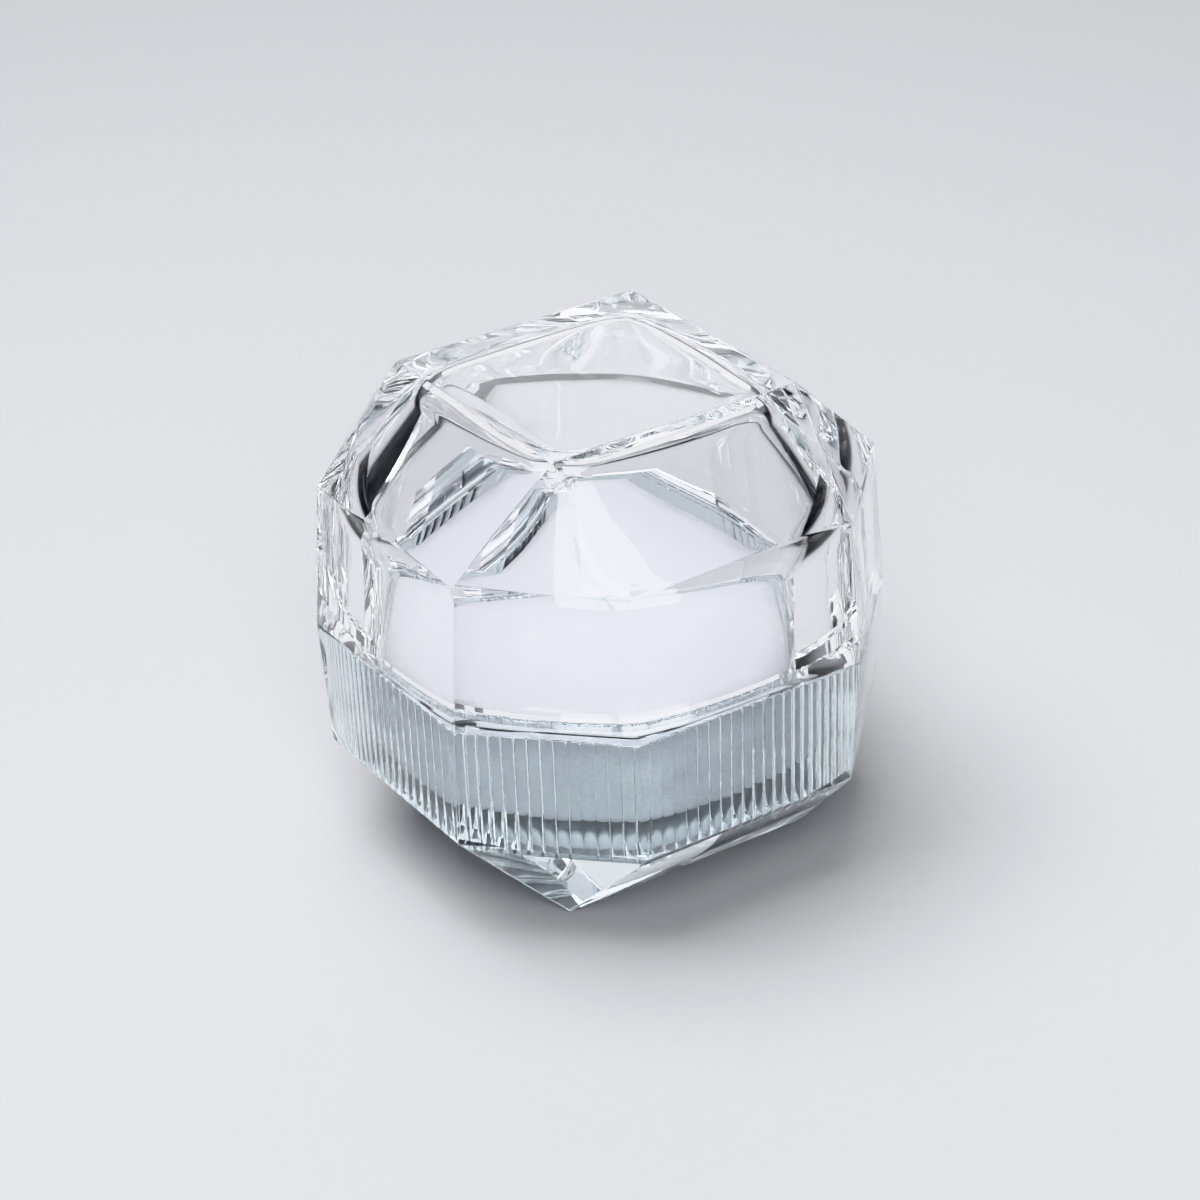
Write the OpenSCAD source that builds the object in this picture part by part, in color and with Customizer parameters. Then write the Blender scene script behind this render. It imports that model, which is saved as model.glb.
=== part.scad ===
// Ring display box: a clear box cut like a gem, in two hinged halves, with a ribbed
// round cup that holds a white foam ring pad.
// Millimetres. +Z is up, the front is -Y, and the hinge is at the back, +Y.
// The origin is the centre of the square foot that the box stands on.

/* [Outline] */
// Half the width across the flats at the parting line, where the box is widest
seam_half = 20; // [19:0.5:26]
// Length that each of the four upright corners is cut back at the parting line
corner_cut = 9.8; // [8:0.1:11]
// Fineness of the round surfaces
facets_round = 96; // [48:8:160]

/* [Lid] */
// Height of the lid's upright wall
lid_wall_h = 11.9; // [9:0.1:16]
// How far the lid's wall leans in by its top
lid_lean = 0.8; // [0.4:0.1:1.4]
// Rise of the crown facets, from the wall to the flat table on top
crown_h = 7.9; // [6:0.1:10]
// Half the width of the square table on top
table_half = 10.9; // [9:0.1:12.5]
// Thickness of the lid under the table
table_wall = 2.9; // [2:0.1:3.4]
// Least thickness of the lid under its four large crown facets
crown_wall = 2.5; // [1.5:0.1:2.8]
// Radius that rounds the lid's hollow between its cone and its flat ceiling
ceiling_round = 0.8; // [0.5:0.1:2]
// Radius that rounds the lid's hollow between its upright wall and its cone
shoulder_round = 0.8; // [0.5:0.1:2]

/* [Base] */
// Height of the base's upright wall
base_wall_h = 10.3; // [9:0.1:14]
// How far the base's flats lean in by their lower edge
base_lean = 0.25; // [0.1:0.05:0.8]
// How far the base's cut corners lean in by their lower edge
base_corner_lean = 0.7; // [0.2:0.05:1]
// Drop of the lower facets, from the wall to the foot
keel_h = 8.7; // [7:0.1:11]
// Half the width of the square foot
foot_half = 11.1; // [9:0.1:13]

/* [Cup and ribs] */
// Radius of the lid's round hollow, and of the cup in the base at the bottom of its ribs' grooves
hollow_r = 17.3; // [15:0.1:17.5]
// Depth of the cup below the parting line
cup_depth = 11.3; // [9:0.1:12]
// Number of upright ribs round the cup
rib_count = 112; // [80:4:128]
// How far each rib stands in from its grooves
rib_depth = 0.1; // [0.05:0.05:0.45]

/* [Locating ring] */
// Height that the ring round the cup's mouth stands above the parting line
ring_h = 0.5; // [0.4:0.1:1.5]
// Thickness of that ring
ring_wall = 0.9; // [0.7:0.1:1.2]
// Gap all round between the ring and the lid's recess for it
ring_gap = 0.2; // [0.15:0.05:0.4]

/* [Foam insert] */
// Thickness of the foam insert at its edge
foam_h = 9; // [7:0.1:10.5]
// Height of the insert's edge above the parting line
foam_rise = -0.3; // [-1:0.1:0.5]
// How far the middle of the insert crowns above its edge
foam_crown = 0.6; // [0.3:0.1:1.5]
// Radius that rounds the insert's upper and lower edges
foam_edge_r = 1; // [0.5:0.1:1.5]
// Gap between the insert's side and the tips of the ribs
foam_gap = 0.05; // [0.05:0.05:0.3]
// Length of the slit that grips a ring
slit_len = 20; // [12:1:24]
// Width of the slit while it is empty
slit_w = 0.4; // [0.3:0.1:1.5]
// Depth of the slit
slit_depth = 7; // [4:0.5:8]

/* [Hinge] */
// Outer radius of the hinge knuckles
knuckle_r = 1.7; // [1.4:0.1:2.2]
// Gap between the knuckles and the rear flat
knuckle_gap = 0.3; // [0.2:0.05:0.5]
// Width of the base's middle knuckle
block_w = 7; // [5:0.5:8]
// Width of each lid arm
arm_w = 3; // [2:0.25:3.5]
// Gap between the middle knuckle and each lid arm
arm_gap = 0.2; // [0.1:0.05:0.4]
// Height of the webs that carry the knuckles, measured on the rear flat
web_h = 4; // [3:0.5:6]
// Angle at which the open lid comes to rest on the heel of the middle knuckle
open_angle = 100; // [90:1:110]
// How far the heel reaches out from the hinge axis
heel_reach = 2.6; // [2.2:0.1:3]
// Radius of the hinge pins
pin_r = 0.6; // [0.5:0.05:0.8]
// How far each hinge pin reaches into the middle knuckle
pin_seat = 2.3; // [1.5:0.1:2.4]
// Gap round a pin in the lid arm, which turns on it
pin_gap = 0.05; // [0.02:0.01:0.1]
// Gap round a pin in the middle knuckle, which holds it
pin_seat_gap = 0.01; // [0.01:0.01:0.02]

/* [Hidden] */

// Heights above the foot
keel_z = keel_h;
seam_z = keel_z + base_wall_h;
crown_z = seam_z + lid_wall_h;
top_z = crown_z + crown_h;

// Half widths across the flats, and the same across the cut corners, at each height
diagonal = sqrt(2);
lid_top_half = seam_half - lid_lean;
base_foot_half = seam_half - base_lean;
corner_half = (2 * seam_half - corner_cut) / diagonal;
lid_top_corner = corner_half - lid_lean;
base_foot_corner = corner_half - base_corner_lean;
table_corner = table_half * diagonal;
foot_corner = foot_half * diagonal;

// Round parts
rib_tip_r = hollow_r - rib_depth;
ring_r = hollow_r + ring_wall;
foam_r = rib_tip_r - foam_gap;
foam_top_z = seam_z + foam_rise;
foam_floor_z = foam_top_z - foam_h;

// Hinge
axis_y = seam_half + knuckle_r + knuckle_gap;
axis_z = seam_z;
arm_x = block_w / 2 + arm_gap + arm_w / 2;
pin_len = pin_seat + arm_gap + arm_w;
pin_mid_x = (block_w - pin_seat + arm_gap + arm_w) / 2;
heel_gap = 0.04;

// Cutting blocks reach this far, which is past the whole box
reach = 4 * seam_half;
// Overlap that makes two shapes of one moulding join
bite = 1;
// Step by which the smooth mouth of the cup is wider than the ribs' grooves
mouth_gap = 0.1;
// Number of steps that draw each rounding of the lid's hollow
round_steps = 6;
flats = [0, 90, 180, 270];
corners = [45, 135, 225, 315];

// Turns a child towards the compass direction given in degrees from +X
module facing(direction) {
    rotate([0, 0, direction]) children();
}

// The block that grinds one flat facet: it removes all that lies outside the slope through
// two points, each given as its distance from the upright axis and its height.
// The inset moves the slope that far into the material, square to itself.
module facet(low, high, inset = 0) {
    tilt = atan2(low[0] - high[0], high[1] - low[1]);
    translate([low[0], 0, low[1]])
        rotate([0, -tilt, 0])
            translate([-inset, -reach, -reach])
                cube([reach, 2 * reach, 2 * reach]);
}

// The solid gem shape of the lid, ground from a block
module lid_outside() {
    difference() {
        translate([-seam_half, -seam_half, seam_z])
            cube([2 * seam_half, 2 * seam_half, top_z - seam_z]);
        for (direction = flats) {
            facing(direction) facet([seam_half, seam_z], [lid_top_half, crown_z]);
            facing(direction) facet([lid_top_half, crown_z], [table_half, top_z]);
        }
        for (direction = corners) {
            facing(direction) facet([corner_half, seam_z], [lid_top_corner, crown_z]);
            facing(direction) facet([lid_top_corner, crown_z], [table_corner, top_z]);
        }
    }
}

// The solid gem shape of the base, ground from a block
module base_outside() {
    difference() {
        translate([-seam_half, -seam_half, 0])
            cube([2 * seam_half, 2 * seam_half, seam_z]);
        for (direction = flats) {
            facing(direction) facet([base_foot_half, keel_z], [seam_half, seam_z]);
            facing(direction) facet([foot_half, 0], [base_foot_half, keel_z]);
        }
        for (direction = corners) {
            facing(direction) facet([base_foot_corner, keel_z], [corner_half, seam_z]);
            facing(direction) facet([foot_corner, 0], [base_foot_corner, keel_z]);
        }
    }
}

// The hollow of the lid: a round well that closes in as a cone under the crown
// facets to a flat ceiling, and the wider recess at its mouth for the base's ring.
// The cone is the slope of the facets, moved into the material by the wall's thickness.
module lid_hollow() {
    slope = atan2(crown_h, lid_top_half - table_half);
    cone = lid_top_half * sin(slope) + lid_wall_h * cos(slope) - crown_wall;
    shoulder_x = hollow_r - shoulder_round;
    shoulder_y = (cone - shoulder_round - shoulder_x * sin(slope)) / cos(slope);
    ceiling_y = lid_wall_h + crown_h - table_wall - ceiling_round;
    ceiling_x = (cone - ceiling_round - ceiling_y * cos(slope)) / sin(slope);
    shoulder = [
        for (step = [0 : round_steps])
            let (angle = (90 - slope) * step / round_steps)
            [shoulder_x + shoulder_round * cos(angle), shoulder_y + shoulder_round * sin(angle)]
    ];
    ceiling = [
        for (step = [0 : round_steps])
            let (angle = 90 - slope + slope * step / round_steps)
            [ceiling_x + ceiling_round * cos(angle), ceiling_y + ceiling_round * sin(angle)]
    ];
    translate([0, 0, seam_z])
        rotate_extrude($fn = facets_round)
            polygon(concat(
                [[0, -bite], [hollow_r, -bite]], shoulder, ceiling,
                [[0, ceiling_y + ceiling_round]]
            ));
    translate([0, 0, seam_z - bite])
        cylinder(r = ring_r + ring_gap, h = ring_h + ring_gap + bite, $fn = facets_round);
}

// The ribbed well of the cup: its outline runs out and in once for each rib, and the mouth
// inside the ring is smooth
module cup_well() {
    pitch = 360 / rib_count;
    outline = [
        for (rib = [0 : rib_count - 1], step = [0 : 3])
            let (
                angle = (rib + step / 4) * pitch,
                radius = step < 2 ? hollow_r : rib_tip_r
            )
            [radius * cos(angle), radius * sin(angle)]
    ];
    translate([0, 0, seam_z - cup_depth])
        linear_extrude(height = cup_depth + bite)
            polygon(outline);
    translate([0, 0, seam_z])
        cylinder(r = hollow_r + mouth_gap, h = ring_h + bite, $fn = facets_round);
}

// Places a shape drawn in the plane of the hinge (behind the axis, above the axis) as a
// plate of the given width along the hinge axis
module hinge_plate(width) {
    translate([-width / 2, axis_y, axis_z])
        rotate([90, 0, 90])
            linear_extrude(height = width)
                children();
}

// One lid arm: the knuckle, and the web that joins it to the lid's rear wall
module lid_arm() {
    wall = -(axis_y - seam_half);
    hinge_plate(arm_w) {
        circle(r = knuckle_r, $fn = facets_round);
        polygon([
            [wall - bite, 0], [0, 0], [0, knuckle_r],
            [wall, web_h], [wall - bite, web_h]
        ]);
    }
}

// The base's middle knuckle, its web, and the sloping heel that stops the lid
module hinge_block() {
    wall = -(axis_y - seam_half);
    lean = atan2(lid_lean, lid_wall_h);
    // Where the rear flat of the open lid comes to lie, seen from the hinge axis
    rest = open_angle - 90 - lean;
    edge = [wall * cos(open_angle), wall * -sin(open_angle)];
    heel_top = edge[1] - heel_gap;
    heel_drop = (heel_reach - edge[0]) * tan(rest);
    hinge_plate(block_w) {
        circle(r = knuckle_r, $fn = facets_round);
        polygon([
            [wall - bite, 0], [0, 0], [0, -knuckle_r],
            [wall, -web_h], [wall - bite, -web_h]
        ]);
        polygon([
            [0, 0], [edge[0], heel_top], [heel_reach, heel_top - heel_drop],
            [heel_reach, -knuckle_r / 2], [0, -knuckle_r]
        ]);
    }
}

// A bore or a pin along the hinge axis, centred at the given place along it
module along_axis(middle, radius, length) {
    translate([middle - length / 2, axis_y, axis_z])
        rotate([0, 90, 0])
            cylinder(r = radius, h = length, $fn = facets_round);
}

module hinge_pin(side) {
    along_axis(side * pin_mid_x, pin_r, pin_len);
}

module base() {
    color([0.80, 0.86, 0.90, 0.45])
        difference() {
            union() {
                base_outside();
                translate([0, 0, seam_z - bite])
                    cylinder(r = ring_r, h = ring_h + bite, $fn = facets_round);
                hinge_block();
            }
            cup_well();
            for (side = [-1, 1])
                along_axis(side * pin_mid_x, pin_r + pin_seat_gap, pin_len);
        }
}

module lid() {
    color([0.86, 0.90, 0.95, 0.35])
        difference() {
            union() {
                lid_outside();
                for (side = [-1, 1])
                    translate([side * arm_x, 0, 0]) lid_arm();
            }
            lid_hollow();
            for (side = [-1, 1])
                along_axis(side * arm_x, pin_r + pin_gap, arm_w + bite);
        }
}

// The foam pad: a crowned disc with rounded edges, and the slit for the ring across it
module foam_insert() {
    // The crown is part of a large ball that meets the rounded edge
    flat_r = foam_r - foam_edge_r;
    ball_r = (flat_r * flat_r + foam_crown * foam_crown) / (2 * foam_crown);
    half_turn = asin(flat_r / ball_r);
    steps = 4;
    crown = [
        for (step = [0 : steps])
            let (angle = half_turn * step / steps)
            [ball_r * sin(angle), foam_top_z + foam_crown - ball_r * (1 - cos(angle))]
    ];
    edge = [
        for (angle = [60 : -30 : 0])
            [flat_r + foam_edge_r * cos(angle), foam_top_z - foam_edge_r * (1 - sin(angle))]
    ];
    under = [
        for (angle = [0 : -30 : -90])
            [flat_r + foam_edge_r * cos(angle), foam_floor_z + foam_edge_r * (1 + sin(angle))]
    ];
    color("white")
        difference() {
            rotate_extrude($fn = facets_round)
                polygon(concat(crown, edge, under, [[0, foam_floor_z]]));
            translate([-slit_len / 2, -slit_w / 2, foam_top_z - slit_depth])
                cube([slit_len, slit_w, slit_depth + foam_crown + bite]);
        }
}

module hinge_pin_left() {
    color("silver") hinge_pin(-1);
}

module hinge_pin_right() {
    color("silver") hinge_pin(1);
}

base();
foam_insert();
hinge_pin_left();
hinge_pin_right();
lid();
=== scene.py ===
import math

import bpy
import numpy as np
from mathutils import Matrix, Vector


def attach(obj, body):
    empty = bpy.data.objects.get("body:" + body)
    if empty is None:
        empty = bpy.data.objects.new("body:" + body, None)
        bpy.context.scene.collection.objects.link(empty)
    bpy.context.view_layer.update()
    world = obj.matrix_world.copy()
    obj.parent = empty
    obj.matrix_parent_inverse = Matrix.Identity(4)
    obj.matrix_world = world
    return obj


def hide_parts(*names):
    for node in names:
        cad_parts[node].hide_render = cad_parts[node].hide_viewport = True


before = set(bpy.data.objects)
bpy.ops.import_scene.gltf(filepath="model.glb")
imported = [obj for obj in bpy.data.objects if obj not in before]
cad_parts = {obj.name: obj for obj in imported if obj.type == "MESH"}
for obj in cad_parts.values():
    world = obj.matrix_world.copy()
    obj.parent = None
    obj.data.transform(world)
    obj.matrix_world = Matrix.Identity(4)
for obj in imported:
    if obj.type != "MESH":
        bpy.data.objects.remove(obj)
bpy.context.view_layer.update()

# %% [markdown]
# # A clear ring display box
# The imported model is the fixed frame: it says where the lid, the base, the foam pad and the hinge
# pins are. This file dresses that frame. The two clear mouldings and the foam are made again with
# finer surfaces, and everything gets the finish of the real thing.

MM = 0.001

# %% [markdown]
# ## Sizes
# The mouldings have to stay where the frame has them, so the same sizes are used here as in the
# part's source: half widths, heights above the foot and radii, all in millimetres. The sizes that
# several pieces share come first. The others stand with their piece.

# %% Sizes of the whole box, in millimetres
seam_half, corner_cut = 20.0, 9.8
keel_h, base_wall_h, lid_wall_h, crown_h = 8.7, 10.3, 11.9, 7.9
hollow_r, ring_h, ring_wall = 17.3, 0.5, 0.9
edge_round = 0.16

seam_z = keel_h + base_wall_h
crown_z = seam_z + lid_wall_h
top_z = crown_z + crown_h
corner_half = (2 * seam_half - corner_cut) / math.sqrt(2)
print(f"parting line at {seam_z:.1f} mm, top at {top_z:.1f} mm")

# %% Sizes of the hinge, in millimetres
knuckle_r, knuckle_gap, web_h = 1.7, 0.3, 4.0
block_w, arm_w, arm_gap = 7.0, 3.0, 0.2
pin_r, pin_seat, pin_gap, pin_seat_gap = 0.6, 2.3, 0.05, 0.01

axis_y = seam_half + knuckle_r + knuckle_gap
wall_y = seam_half - axis_y
arm_x = block_w / 2 + arm_gap + arm_w / 2
pin_len = pin_seat + arm_gap + arm_w
pin_x = (block_w - pin_seat + arm_gap + arm_w) / 2
print(f"hinge axis at y {axis_y:.1f} mm, arms at x {arm_x:.1f} mm on both sides")

# %% [markdown]
# ## Flat facets
# The outside of each half is a cut gem: flat faces that meet in straight edges. It could be
# carved from a block, but a facet is nothing more than a polygon between two outlines. So each
# half is a stack of eight-cornered outlines. At the table and at the foot the cut corners shrink
# to nothing, which turns the corner faces into triangles.


# %% Outlines and the shell that joins them
def gem_outline(half, corner, height):
    """Eight corners of a square whose corners are cut off. The flats are `half` from the axis
    and the cuts `corner` from it. A cut crosses a flat where x + y = corner times root two."""
    p = corner * math.sqrt(2) - half
    xy = np.array([[half, -p], [half, p], [p, half], [-p, half],
                   [-half, p], [-half, -p], [-p, -half], [p, -half]])
    return np.column_stack([xy, np.full(8, height)])


def facet_shell(outlines):
    """Corners and faces of the closed shell between outlines that are stacked upwards. Every
    two neighbours in height are joined corner by corner, equal corners are merged, and a face
    that loses a corner becomes a triangle."""
    points = np.vstack(outlines)
    unique, where = np.unique(points.round(6), axis=0, return_inverse=True)
    where = where.reshape(len(outlines), 8)
    following = np.roll(where, -1, axis=1)
    quads = np.stack([where[:-1], following[:-1], following[1:], where[1:]], -1).reshape(-1, 4)
    rings = [list(where[0][::-1]), *quads.tolist(), list(where[-1])]
    faces = [list(dict.fromkeys(ring)) for ring in rings]
    return unique, [face for face in faces if len(face) > 2]


# %% [markdown]
# ## Turned surfaces
# The hollow of the lid, the cup and its ring are round. A profile of distances and heights is
# swept round the upright axis, which gives a grid of points: one row for each point of the
# profile, one column for each direction. The first and last rows are closed with a flat face.


# %% A closed skin over a grid of points
def grid_shell(grid):
    """Corners and faces over a grid whose columns run round once. Rows go upwards or inwards,
    so that the faces look outwards, and the end rows are closed."""
    rows, columns = grid.shape[:2]
    index = np.arange(rows * columns).reshape(rows, columns)
    following = np.roll(index, -1, axis=1)
    quads = np.stack([index[:-1], following[:-1], following[1:], index[1:]], -1).reshape(-1, 4)
    return grid.reshape(-1, 3), [index[0][::-1].tolist(), *quads.tolist(), index[-1].tolist()]


def directions(columns):
    """Angles that are evenly spread over one turn."""
    return np.linspace(0, 2 * np.pi, columns, endpoint=False)


def swept(distance, height, turn):
    """The grid of points at the given distances from the axis, heights and directions."""
    return np.stack([distance * np.cos(turn), distance * np.sin(turn), height], -1)


def turned(profile, columns, ribs=0, depth=0.0, fullness=0.7):
    """The grid of a profile of (distance, height) points, swept round the axis. Each point moves
    inwards by the depth times the size of a sine, which has one hump for each rib, to the power
    of the fullness. A power below one makes the ribs full and the grooves between them sharp."""
    profile = np.asarray(profile, float)
    turn = directions(columns)
    wave = -depth * np.abs(np.sin(ribs * turn / 2)) ** fullness
    distance = profile[:, :1] + wave
    return swept(distance, np.broadcast_to(profile[:, 1:], distance.shape), turn)


def arc(centre, radius, start, end, steps):
    """Points on a circle about (x, y), from one angle to another, in degrees."""
    angle = np.radians(np.linspace(start, end, steps))
    return np.column_stack([centre[0] + radius * np.cos(angle),
                            centre[1] + radius * np.sin(angle)])


# %% [markdown]
# A mesh is made from corners and faces in one call. Moulded plastic has no knife-sharp edges, so
# a narrow bevel rounds them: it is what draws the fine bright and dark lines along each edge.


# %% Meshes, bevels and joins
def make_piece(name, shell, smooth=False):
    """A new object from (corners, faces) in millimetres, put in place in its mesh."""
    corners, faces = shell
    mesh = bpy.data.meshes.new(name)
    mesh.from_pydata((np.asarray(corners) * MM).tolist(), [], faces)
    mesh.polygons.foreach_set("use_smooth", np.full(len(mesh.polygons), smooth))
    mesh.update()
    piece = bpy.data.objects.new(name, mesh)
    bpy.context.scene.collection.objects.link(piece)
    return piece


def bake_modifiers(piece):
    """Puts what the modifiers make into the mesh itself and takes them off."""
    bpy.context.view_layer.update()
    seen = piece.evaluated_get(bpy.context.evaluated_depsgraph_get())
    mesh = bpy.data.meshes.new_from_object(seen)
    piece.modifiers.clear()
    piece.data = mesh


def round_edges(piece, width, segments=2, angle=15):
    """Rounds the edges where faces turn by more than the angle."""
    bevel = piece.modifiers.new("bevel", "BEVEL")
    bevel.width, bevel.segments = width * MM, segments
    bevel.limit_method, bevel.angle_limit = "ANGLE", math.radians(angle)
    bake_modifiers(piece)


def combine(body, others, operation):
    """Joins other closed pieces to a body, or takes them out of it, and removes them."""
    for other in others:
        step = body.modifiers.new("combine", "BOOLEAN")
        step.operation, step.solver, step.object = operation, "EXACT", other
    bake_modifiers(body)
    for other in others:
        bpy.data.objects.remove(other)


# %% [markdown]
# ## Hinge plates
# The knuckles and their webs are flat plates on the hinge axis. Each is an outline drawn behind
# and above the axis, given a width along it.


# %% Plates and bars along the hinge axis
def plate(name, outline, middle, width):
    """A plate with the given (behind the axis, above the axis) outline, `width` wide."""
    outline = np.asarray(outline, float)
    side = np.column_stack([np.zeros(len(outline)), axis_y + outline[:, 0],
                            seam_z + outline[:, 1]])
    ends = [side + [middle + end * width / 2, 0, 0] for end in (-1, 1)]
    return make_piece(name, grid_shell(np.stack(ends)))


def rod(name, middle, radius, length, sides=48):
    """A round bar along the hinge axis."""
    return plate(name, arc((0, 0), radius, 0, 360 - 360 / sides, sides), middle, length)


# %% [markdown]
# ## The lid
# On the real box the lid is one injection moulding of clear plastic: gem facets outside, and
# inside a round hollow that closes in under the crown to a flat ceiling. It could be a shell of
# even thickness, but the real one is thick at the corners and thin at the flats, which is what
# bends the view. So it is made as the solid gem, with the two hinge arms joined on, and with the
# hollow and the pin bores taken out.

# %% The solid gem of the lid
lid_lean, table_half = 0.8, 10.9
lid_levels = [
    gem_outline(seam_half, corner_half, seam_z),
    gem_outline(seam_half - lid_lean, corner_half - lid_lean, crown_z),
    gem_outline(table_half, table_half * math.sqrt(2), top_z),
]
lid = make_piece("lid_clear", facet_shell(lid_levels))
round_edges(lid, edge_round)
print("lid gem:", len(lid.data.polygons), "faces")

# %% [markdown]
# Seen through the table, the hollow's ceiling is a square with round corners, while its wall is
# round. So the surface between them is a mix: each row goes from a circle at the shoulder to a
# rounded square at the ceiling, and both its edges are eased a little, as tool steel is.


# %% Rounded squares and eased corners
def rounded_square(turn, half, power):
    """Distance of the outline |x|^power + |y|^power = half^power in the direction `turn`."""
    return half * (np.abs(np.cos(turn)) ** power + np.abs(np.sin(turn)) ** power) ** (-1 / power)


def eased(before, corner, after, reach, steps=5):
    """Rows that round a corner. Each is a point of the quadratic curve that starts `reach`
    before the corner, is drawn towards it, and ends `reach` after it."""
    def towards(row):
        away = row - corner
        return corner + reach * away / np.linalg.norm(away, axis=-1, keepdims=True)

    u = np.linspace(0, 1, steps)[:, None, None]
    return ((1 - u) ** 2 * towards(before) + 2 * u * (1 - u) * corner
            + u ** 2 * towards(after))


# %% The hollow of the lid
table_wall, shoulder_h, ceiling_half, ceiling_power = 2.9, 9.3, 9.6, 7.0
hollow_ease, ring_gap = 1.5, 0.2


def lid_hollow(columns=240):
    """The hollow's grid: its rows go up the ring's recess, the round wall and the crown. It
    starts 1 mm below the rim, so that the cut goes through."""
    turn = directions(columns)

    def row(distance, height):
        return np.stack([np.broadcast_to(distance, turn.shape), np.full(columns, height)], -1)

    recess_r, recess_h = hollow_r + ring_wall + ring_gap, ring_h + ring_gap
    ceiling_h = lid_wall_h + crown_h - table_wall
    edge = rounded_square(turn, ceiling_half, ceiling_power)
    foot, shoulder = row(hollow_r, recess_h), row(hollow_r, shoulder_h)
    ceiling, middle = row(edge, ceiling_h), row(edge / 2, ceiling_h)
    rows = np.concatenate([
        [row(recess_r, -1), row(recess_r, recess_h), foot],
        eased(foot, shoulder, ceiling, hollow_ease),
        eased(shoulder, ceiling, middle, hollow_ease),
    ])
    return swept(rows[..., 0], rows[..., 1] + seam_z, turn)


hollow = make_piece("hollow", grid_shell(lid_hollow()), smooth=True)
print("hollow:", len(hollow.data.vertices), "corners")

# %% The lid's arms: each reaches into the wall, and keeps off the parting line by a hair
bite, arm_lift = 1.0, 0.03
arm_outline = np.vstack([
    [[wall_y - bite, arm_lift]],
    arc((0, 0), knuckle_r, 179, 450, 40),
    [[wall_y, web_h], [wall_y - bite, web_h]],
])
arms = [plate("arm", arm_outline, side * arm_x, arm_w) for side in (-1, 1)]
combine(lid, arms, "UNION")
print("lid with arms:", len(lid.data.polygons), "faces")

# %% Taking the hollow and the bores out of the lid
bore_over = 0.6
bores = [rod("bore", side * arm_x, pin_r + pin_gap, arm_w + bore_over) for side in (-1, 1)]
combine(lid, [hollow, *bores], "DIFFERENCE")
print("lid:", len(lid.data.vertices), "corners,", len(lid.data.polygons), "faces")

# %% [markdown]
# ## The base
# The base is the second clear moulding. Below its wall the facets close in to the square foot.
# The round cup inside has 112 fine upright ribs, and the low ring round its mouth guides the lid.
# The ribs could be thin bars set round the cup, but they are moulded with it, so they are a ripple
# on the cup's wall: round ribs with a sharp groove between each two.
#
# On the real box the two rims touch. Here the base's rim is 0.04 mm lower, because the renderer
# can't tell which of two clear faces in one place the light crosses first.

# %% The solid gem of the base
base_lean, base_corner_lean, foot_half, rim_gap = 0.25, 0.7, 11.1, 0.04
base_levels = [
    gem_outline(foot_half, foot_half * math.sqrt(2), 0),
    gem_outline(seam_half - base_lean, corner_half - base_corner_lean, keel_h),
    gem_outline(seam_half, corner_half, seam_z - rim_gap),
]
base = make_piece("base_clear", facet_shell(base_levels))
round_edges(base, edge_round)
print("base gem:", len(base.data.polygons), "faces")

# %% The ring that guides the lid
ring_r, ring_top, ring_round = hollow_r + ring_wall, seam_z + ring_h, 0.2
ring_profile = np.vstack([
    [[ring_r, seam_z - bite]],
    arc((ring_r - ring_round, ring_top - ring_round), ring_round, 0, 90, 6),
])
ring = make_piece("ring", grid_shell(turned(ring_profile, 240)), smooth=True)
print("ring:", len(ring.data.vertices), "corners")

# %% The hinge block, with the heel that the open lid's rear wall comes to lie on
open_angle, heel_reach, heel_gap = 100.0, 2.6, 0.04
lean = math.degrees(math.atan2(lid_lean, lid_wall_h))
rest = open_angle - 90 - lean
edge_x = wall_y * math.cos(math.radians(open_angle))
edge_z = -wall_y * math.sin(math.radians(open_angle)) - heel_gap
heel_z = edge_z - (heel_reach - edge_x) * math.tan(math.radians(rest))
heel_turn = math.degrees(math.atan2(edge_z, edge_x))
block_outline = np.vstack([
    [[wall_y - bite, -web_h], [wall_y, -web_h], [0, -knuckle_r]],
    [[heel_reach, -knuckle_r / 2], [heel_reach, heel_z], [edge_x, edge_z]],
    arc((0, 0), knuckle_r, heel_turn, 180, 20),
    [[wall_y - bite, -rim_gap]],
])
block = plate("block", block_outline, 0, block_w)
combine(base, [ring, block], "UNION")
print(f"heel slopes by {rest:.1f} degrees")

# %% The ribbed well and the smooth mouth, which overlap by a hair so that no skin is left
cup_depth, rib_count, rib_depth, points_per_rib = 11.3, 112, 0.14, 10
mouth_gap, well_top, mouth_low, mouth_top = 0.1, seam_z - 0.02, seam_z - 0.05, seam_z + 3
well_profile = [[hollow_r, seam_z - cup_depth], [hollow_r, well_top]]
well_grid = turned(well_profile, rib_count * points_per_rib, rib_count, rib_depth)
well = make_piece("well", grid_shell(well_grid), smooth=True)
mouth_profile = [[hollow_r + mouth_gap, mouth_low], [hollow_r + mouth_gap, mouth_top]]
mouth = make_piece("mouth", grid_shell(turned(mouth_profile, 240)), smooth=True)
print(f"ribs {2 * math.pi * hollow_r / rib_count:.2f} mm apart")

# %% Taking the cup and the pins' seats out of the base
bores = [rod("bore", side * pin_x, pin_r + pin_seat_gap, pin_len) for side in (-1, 1)]
combine(base, [well, mouth, *bores], "DIFFERENCE")
print("base:", len(base.data.vertices), "corners,", len(base.data.polygons), "faces")

# %% Smooth shading stops at sharp edges
sharp_above = 24
for piece in (lid, base):
    piece.data.set_sharp_from_angle(angle=math.radians(sharp_above))
print("edges that turn by more than", sharp_above, "degrees are sharp")

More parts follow.
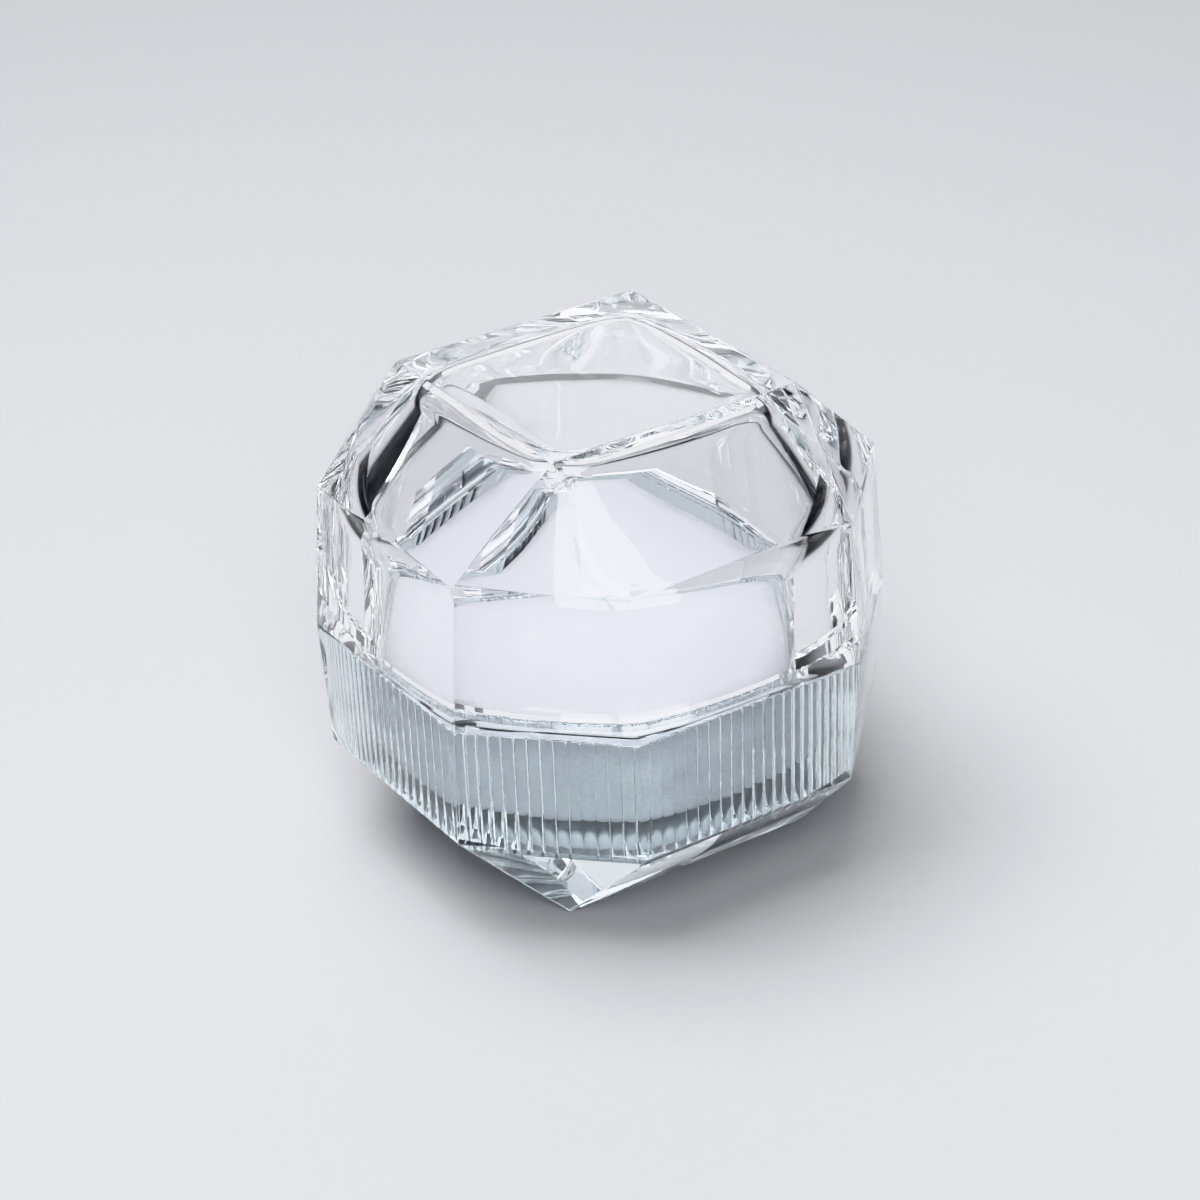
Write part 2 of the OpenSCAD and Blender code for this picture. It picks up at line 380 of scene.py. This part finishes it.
# %% [markdown]
# ## The foam pad
# The white pad is a round of soft foam, pressed into the cup. It swells a little over its edges
# and is slit across the middle to hold a ring. It could be a plain disc, but foam under pressure
# is nowhere flat. So it is a rounded puck, made ten times its size, because the cloth values that
# work well are those of a cushion, then remeshed and blown up by cloth pressure. Cloth swells far
# more than foam does, so each corner keeps 0.3 mm of its move at most. That leaves the side a
# little uneven, a tenth of a millimetre or more inside the ribs.


# %% The puck before it swells
def puck_profile(radius, low, high, crown, edge, centre=0.5):
    """A disc's profile from the middle of its underside, out round both rounded edges, and up
    over a crown that falls away with the square of the distance. It starts and ends at the
    small circle `centre`, which is closed flat."""
    flat = radius - edge
    under = np.column_stack([np.linspace(centre, flat, 14), np.full(14, low)])
    lower = arc((flat, low + edge), edge, -80, 0, 8)
    upper = arc((flat, high - edge), edge, 0, 80, 8)
    out = np.linspace(flat, centre, 20)
    top = np.column_stack([out, high + crown * (1 - (out / flat) ** 2)])
    return np.vstack([under, lower, upper, top])


foam_h, foam_rise, foam_crown, foam_edge_r, foam_gap = 9.0, -0.3, 0.6, 1.0, 0.03
swell_side, swell_face = 0.25, 0.15
foam_r = hollow_r - rib_depth - foam_gap
foam_top, foam_floor = seam_z + foam_rise, seam_z + foam_rise - foam_h
puck = turned(puck_profile(foam_r - swell_side, foam_floor + swell_face, foam_top - swell_face,
                           foam_crown, foam_edge_r), 96)
print(f"room for the pad: {2 * foam_r:.2f} mm across, {foam_h + foam_crown:.2f} mm high")

# %% An even mesh for it, at ten times the size
UP = 10.0
voxel = 0.45
foam = make_piece("foam_pad", grid_shell(puck * UP), smooth=True)
remesh = foam.modifiers.new("even mesh", "REMESH")
remesh.mode, remesh.voxel_size, remesh.use_smooth_shade = "VOXEL", voxel * UP * MM, True
bake_modifiers(foam)
print("foam before it swells:", len(foam.data.vertices), "corners")


# %% Swelling it as cloth under pressure
def corners_of(mesh):
    """The mesh's corners as one array."""
    flat = np.empty(len(mesh.vertices) * 3)
    mesh.vertices.foreach_get("co", flat)
    return flat.reshape(-1, 3)


cloth_steps = 20
start = corners_of(foam.data)
cloth = foam.modifiers.new("swell", "CLOTH")
cloth.settings.use_pressure = True
cloth.settings.uniform_pressure_force = 4
cloth.settings.effector_weights.gravity = 0
cloth.settings.quality = 5
cloth.point_cache.frame_start, cloth.point_cache.frame_end = 1, cloth_steps
for step in range(1, cloth_steps + 1):
    bpy.context.scene.frame_set(step)
bake_modifiers(foam)
bpy.context.scene.frame_set(1)
swollen = corners_of(foam.data)
print("swelling moved corners by up to %.2f mm" % (np.abs(swollen - start).max() / MM / UP))

# %% Keeping a little of the swelling, inside the cup, at the real size
most_swell, rib_clear = 0.3, 0.01
move = swollen - start
length = np.linalg.norm(move, axis=1, keepdims=True)
move *= np.minimum(1, most_swell * UP * MM / np.maximum(length, 1e-9))
held = (start + move) / UP / MM
around = np.hypot(held[:, 0], held[:, 1])
held[:, :2] *= np.minimum(1, (foam_r - rib_clear) / np.maximum(around, 1e-6))[:, None]
held[:, 2] = np.clip(held[:, 2], foam_floor, foam_top + foam_crown)
foam.data.vertices.foreach_set("co", (held * MM).ravel())
foam.data.update()
print(f"held pad: {np.ptp(held[:, 0]):.2f} mm across, {np.ptp(held[:, 2]):.2f} mm high")

# %% [markdown]
# The slit is a knife cut, and foam closes on itself. A thin blade with a lens-shaped outline is
# taken out of the pad, narrow enough to read as a fine line and open enough to stay two walls.


# %% The slit
def blade(half_length, half_width, low, high, columns=48):
    """The outline is a lens: along the blade's length x, its width is that of an ellipse drawn
    in towards the ends, a sine to the power of one and a half. Its lower edge is thinner."""
    turn = directions(columns)
    x = half_length * np.cos(turn)
    y = half_width * np.sign(np.sin(turn)) * np.abs(np.sin(turn)) ** 1.5
    lower = np.column_stack([x, 0.3 * y, np.full(columns, low)])
    upper = np.column_stack([x, y, np.full(columns, high)])
    return np.stack([lower, upper])


slit_len, slit_w, slit_depth, slit_over = 20.0, 0.08, 7.0, 2.0
slit_grid = blade(slit_len / 2, slit_w / 2, foam_top - slit_depth, foam_top + slit_over)
cut = make_piece("slit", grid_shell(slit_grid))
combine(foam, [cut], "DIFFERENCE")
foam.data.set_sharp_from_angle(angle=math.radians(50))
print("foam:", len(foam.data.vertices), "corners,", len(foam.data.polygons), "faces")

# %% [markdown]
# ## Finishes
# Colours are written as the hex codes that a colour picker gives and turned to linear light. One
# small function adds any node, so that a finish reads as a list of its nodes.


# %% Colour and node helpers
def linear(code):
    """A hex colour as linear light: each channel is undone from its screen curve."""
    screen = np.array([int(code[i:i + 2], 16) for i in (1, 3, 5)]) / 255
    light = np.where(screen <= 0.04045, screen / 12.92, ((screen + 0.055) / 1.055) ** 2.4)
    return (*light.tolist(), 1.0)


def add_node(owner, kind, settings=(), inputs=(), links=()):
    """Adds a node to a material or to the world, sets its properties and unlinked inputs, and
    links inputs to outputs."""
    node = owner.node_tree.nodes.new(kind)
    for name, value in dict(settings).items():
        setattr(node, name, value)
    for name, value in dict(inputs).items():
        node.inputs[name].default_value = value
    for name, output in dict(links).items():
        owner.node_tree.links.new(output, node.inputs[name])
    return node


def new_material(name):
    """A material with an empty node tree."""
    material = bpy.data.materials.new(name)
    material.use_nodes = True
    material.node_tree.nodes.clear()
    return material


def finish_material(material, shader):
    """Links the shader to the output."""
    add_node(material, "ShaderNodeOutputMaterial", links={"Surface": shader.outputs[0]})
    return material


def dress(piece, material):
    """Gives a piece one material."""
    piece.data.materials.clear()
    piece.data.materials.append(material)
    print(piece.name, "is", material.name)


# %% [markdown]
# ### Clear polystyrene
# Both mouldings are general-purpose polystyrene, the hard clear plastic of display boxes. It
# bends light strongly, so the facets and the round hollow turn the room into bright and dark
# shards. A polished mould leaves it glossy, with the very slight waviness of shrinkage. The base
# is tinted a little bluer and darker than the lid as painted shade: the tint stands in for the
# shade that falls on the foam's side, seen through the ribs.


# %% Clear polystyrene, injection moulded
def clear_polystyrene(name, tint, waves_per_metre=140):
    """Glass-clear plastic. A slow noise about 7 mm long bends the surface by a few microns."""
    material = new_material(name)
    place = add_node(material, "ShaderNodeTexCoord")
    wave = add_node(material, "ShaderNodeTexNoise", inputs={
        "Scale": waves_per_metre, "Detail": 1,
    }, links={"Vector": place.outputs["Object"]})
    bump = add_node(material, "ShaderNodeBump", inputs={
        "Strength": 0.04, "Distance": 0.0002,
    }, links={"Height": wave.outputs["Fac"]})
    shader = add_node(material, "ShaderNodeBsdfPrincipled", inputs={
        "Base Color": linear(tint), "Roughness": 0.0, "IOR": 1.55, "Transmission Weight": 1.0,
    }, links={"Normal": bump.outputs["Normal"]})
    return finish_material(material, shader)


dress(lid, clear_polystyrene("polystyrene_clear_lid", "#FDFDFF"))
# The base's bluer, darker tint is painted shade on the foam's side seen through it.
dress(base, clear_polystyrene("polystyrene_clear_base_painted_shade", "#EEF5F8"))

# %% [markdown]
# ### White polyethylene foam
# The pad is closed-cell foam: matt, soft white, with cells of a fraction of a millimetre.


# %% White closed-cell foam
def white_foam(name, cells_per_metre=2800, clouds_per_metre=260):
    """Cells of about 0.36 mm as a Voronoi pattern that dents the surface, and clouds of about
    4 mm that mix two whites."""
    material = new_material(name)
    place = add_node(material, "ShaderNodeTexCoord")
    cells = add_node(material, "ShaderNodeTexVoronoi", inputs={
        "Scale": cells_per_metre,
    }, links={"Vector": place.outputs["Object"]})
    cloud = add_node(material, "ShaderNodeTexNoise", inputs={
        "Scale": clouds_per_metre, "Detail": 3,
    }, links={"Vector": place.outputs["Object"]})
    colour = add_node(material, "ShaderNodeMixRGB", inputs={
        "Color1": linear("#E6E8EE"), "Color2": linear("#F1F2F7"),
    }, links={"Fac": cloud.outputs["Fac"]})
    bump = add_node(material, "ShaderNodeBump", inputs={
        "Strength": 0.25, "Distance": 0.0001,
    }, links={"Height": cells.outputs["Distance"]})
    shader = add_node(material, "ShaderNodeBsdfPrincipled", inputs={
        "Roughness": 0.95, "IOR": 1.45, "Specular IOR Level": 0.2, "Sheen Weight": 0.15,
    }, links={"Base Color": colour.outputs["Color"], "Normal": bump.outputs["Normal"]})
    return finish_material(material, shader)


dress(foam, white_foam("foam_polyethylene_white"))

# %% [markdown]
# ### Drawn steel wire
# The hinge pins are cut from bright drawn wire: fine lines run along them.


# %% Bright drawn steel
def drawn_steel(name, along_per_metre=40, across_per_metre=6000):
    """Steel whose roughness varies in streaks: 25 mm long and about 0.17 mm apart, which is
    coarser than real die lines, so that they show."""
    material = new_material(name)
    place = add_node(material, "ShaderNodeTexCoord")
    along = add_node(material, "ShaderNodeMapping", inputs={
        "Scale": (along_per_metre, across_per_metre, across_per_metre),
    }, links={"Vector": place.outputs["Object"]})
    lines = add_node(material, "ShaderNodeTexNoise", inputs={
        "Scale": 1, "Detail": 2,
    }, links={"Vector": along.outputs["Vector"]})
    rough = add_node(material, "ShaderNodeMapRange", inputs={
        "To Min": 0.22, "To Max": 0.42,
    }, links={"Value": lines.outputs["Fac"]})
    shader = add_node(material, "ShaderNodeBsdfPrincipled", inputs={
        "Base Color": linear("#C4C5C8"), "Metallic": 1.0,
    }, links={"Roughness": rough.outputs["Result"]})
    return finish_material(material, shader)


steel = drawn_steel("steel_bright_drawn")
for name in ("hinge_pin_left", "hinge_pin_right"):
    dress(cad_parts[name], steel)

# %% [markdown]
# ## What moves with what
# The lid rides on the half that turns. The base and the pad ride on the half that stands, and the
# pins, which are the frame's own, do so already. Each piece replaces the frame's plain solid.

# %% Riding and replacing
for piece, body, node, slot in (
    (lid, "lid_half", "lid", "clear_lid"),
    (base, "base_half", "base", "clear_base"),
    (foam, "base_half", "foam_insert", "white_foam"),
):
    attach(piece, body)
    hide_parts(node)
    print(piece.name, "rides on", body, "for", node)

# %% [markdown]
# ## The photograph's camera
# The camera looks down on the front left corner from about 29 degrees, a little rolled, with a
# long lens about 26 cm away. These numbers come from fitting the gem's corners.

# %% The camera
azimuth, elevation, roll, distance = -0.5731784, 0.5057661, -0.0356960, 0.26093
back = Vector((math.sin(azimuth) * math.cos(elevation),
               -math.cos(azimuth) * math.cos(elevation), math.sin(elevation)))
level = (-back).cross(Vector((0, 0, 1))).normalized()
upright = level.cross(-back)
right = math.cos(roll) * level + math.sin(roll) * upright
up = -math.sin(roll) * level + math.cos(roll) * upright
box_middle = Vector((0, 0, seam_z * MM))

camera_data = bpy.data.cameras.new("camera")
camera_data.sensor_width, camera_data.lens = 36, 99.574
camera_data.shift_x, camera_data.shift_y = -0.001685, -0.000271
camera_data.clip_start = 0.01
camera = bpy.data.objects.new("camera", camera_data)
bpy.context.scene.collection.objects.link(camera)
camera.matrix_world = Matrix((right, up, back)).transposed().to_4x4()
camera.matrix_world.translation = box_middle + back * distance
bpy.context.scene.camera = camera
print(f"camera {math.degrees(elevation):.0f} degrees up, {distance * 100:.0f} cm away")

# %% [markdown]
# ## Floor and light
# The floor is plain and pale. It lies a hair under the foot, because two faces in one place would
# hide the foot's reflections.

# %% The floor
floor_reach, floor_drop = 3000.0, 0.04
floor_xy = np.array([[-1, -1], [1, -1], [1, 1], [-1, 1]]) * floor_reach
floor = make_piece("floor", (np.column_stack([floor_xy, np.full(4, -floor_drop)]),
                             [[0, 1, 2, 3]]))
paper = new_material("paper_pale")
place = add_node(paper, "ShaderNodeTexCoord")
fibres = add_node(paper, "ShaderNodeTexNoise", inputs={"Scale": 900, "Detail": 4},
                  links={"Vector": place.outputs["Object"]})
tone = add_node(paper, "ShaderNodeMixRGB", inputs={
    "Color1": linear("#ABACAF"), "Color2": linear("#AFB0B3"),
}, links={"Fac": fibres.outputs["Fac"]})
finish_material(paper, add_node(paper, "ShaderNodeBsdfPrincipled", inputs={"Roughness": 0.9},
                                links={"Base Color": tone.outputs["Color"]}))
dress(floor, paper)

# %% [markdown]
# Clear plastic has no colour of its own: it shows the room. Lit evenly from all round it fades
# away. So the room is soft grey overhead and has a dark band low down. At the horizon it is about
# as grey as the far floor, so that low views show no hard edge there. A dark card on the left and
# one on the right of the camera draw the dark streaks along the lid's upright edges.

# %% The room: grey by height, from straight below to straight above
stops = [
    (0.0, "#0A0A0C"), (0.5, "#6C6D71"), (0.535, "#55565A"), (0.57, "#2A2B2E"),
    (0.63, "#9C9EA4"), (0.8, "#C4C6CC"), (1.0, "#8A8C92"),
]
world = bpy.data.worlds.new("room")
world.use_nodes = True
bpy.context.scene.world = world
world.node_tree.nodes.clear()
look = add_node(world, "ShaderNodeTexCoord")
parts = add_node(world, "ShaderNodeSeparateXYZ", links={"Vector": look.outputs["Generated"]})
height = add_node(world, "ShaderNodeMapRange", inputs={"From Min": -1.0, "From Max": 1.0},
                  links={"Value": parts.outputs["Z"]})
shade = add_node(world, "ShaderNodeValToRGB", links={"Fac": height.outputs["Result"]})
ramp = shade.color_ramp
ramp.elements[0].position, ramp.elements[0].color = stops[0][0], linear(stops[0][1])
ramp.elements[1].position, ramp.elements[1].color = stops[-1][0], linear(stops[-1][1])
for position, code in stops[1:-1]:
    ramp.elements.new(position).color = linear(code)
print("greys from below to overhead:", [code for _, code in stops])

# %% The dark cards to the left and right
card_from, card_full, card_cover, card_grey = 0.62, 0.80, 0.92, "#0A0A0C"
card_low, card_low_full, room_light = 0.08, 0.14, 0.42
side = add_node(world, "ShaderNodeVectorMath", {"operation": "DOT_PRODUCT"},
                links={0: look.outputs["Generated"]})
side.inputs[1].default_value = (math.cos(azimuth), math.sin(azimuth), 0.0)
away = add_node(world, "ShaderNodeMath", {"operation": "ABSOLUTE"},
                links={0: side.outputs["Value"]})
card = add_node(world, "ShaderNodeMapRange", inputs={
    "From Min": card_from, "From Max": card_full, "To Max": card_cover,
}, links={"Value": away.outputs[0]})
above = add_node(world, "ShaderNodeMapRange", inputs={
    "From Min": card_low, "From Max": card_low_full,
}, links={"Value": parts.outputs["Z"]})
both = add_node(world, "ShaderNodeMath", {"operation": "MULTIPLY"},
                links={0: card.outputs["Result"], 1: above.outputs["Result"]})
carded = add_node(world, "ShaderNodeMixRGB", inputs={"Color2": linear(card_grey)},
                  links={"Fac": both.outputs[0], "Color1": shade.outputs["Color"]})
sky = add_node(world, "ShaderNodeBackground", inputs={"Strength": room_light},
               links={"Color": carded.outputs["Color"]})
add_node(world, "ShaderNodeOutputWorld", links={"Surface": sky.outputs[0]})
print(f"cards start {math.degrees(math.acos(card_from)):.0f} degrees from the side")

# %% [markdown]
# Three soft boxes light the box. The key light hangs above, a little behind. A weaker one behind
# is what the parting line and the edges mirror towards the camera, as bright strips. One in front
# reaches the foam's side through the base. Honeycomb grids keep the first and the last within 45
# degrees, so that they light the box and what is round it, and leave the rest of the room dim.


# %% Soft boxes
def soft_box(name, place, size, power, spread):
    """A square area light at a place in metres, turned to look at the box. The spread is the
    full angle, in degrees, that its grid lets through."""
    light = bpy.data.lights.new(name, "AREA")
    light.shape, light.size, light.energy = "SQUARE", size, power
    light.spread = math.radians(spread)
    lamp = bpy.data.objects.new(name, light)
    bpy.context.scene.collection.objects.link(lamp)
    lamp.location = place
    lamp.rotation_mode = "QUATERNION"
    lamp.rotation_quaternion = (box_middle - Vector(place)).to_track_quat("-Z", "Y")
    print(name, "gives", power, "W through", spread, "degrees")


soft_box("soft_box_top", (-0.12, 0.10, 0.60), size=0.55, power=1.95, spread=90)
soft_box("soft_box_back", (0.28, 0.436, 0.32), size=0.50, power=0.70, spread=180)
soft_box("soft_box_front", (-0.29, -0.45, 0.45), size=0.40, power=1.10, spread=90)

# %% [markdown]
# Clear plastic needs many bounces: light that is caught between facets has to find its way out,
# or the facets go black. White foam in a clear box is bright too, so the picture uses a curve that
# keeps colours as they are and only rolls off the brightest, which would burn out otherwise.

# %% Light paths and the picture's curve
bounces = 96
cycles = bpy.context.scene.cycles
cycles.max_bounces = cycles.transmission_bounces = cycles.glossy_bounces = bounces
bpy.context.scene.view_settings.view_transform = "Khronos PBR Neutral"
print("light may bounce", bounces, "times")
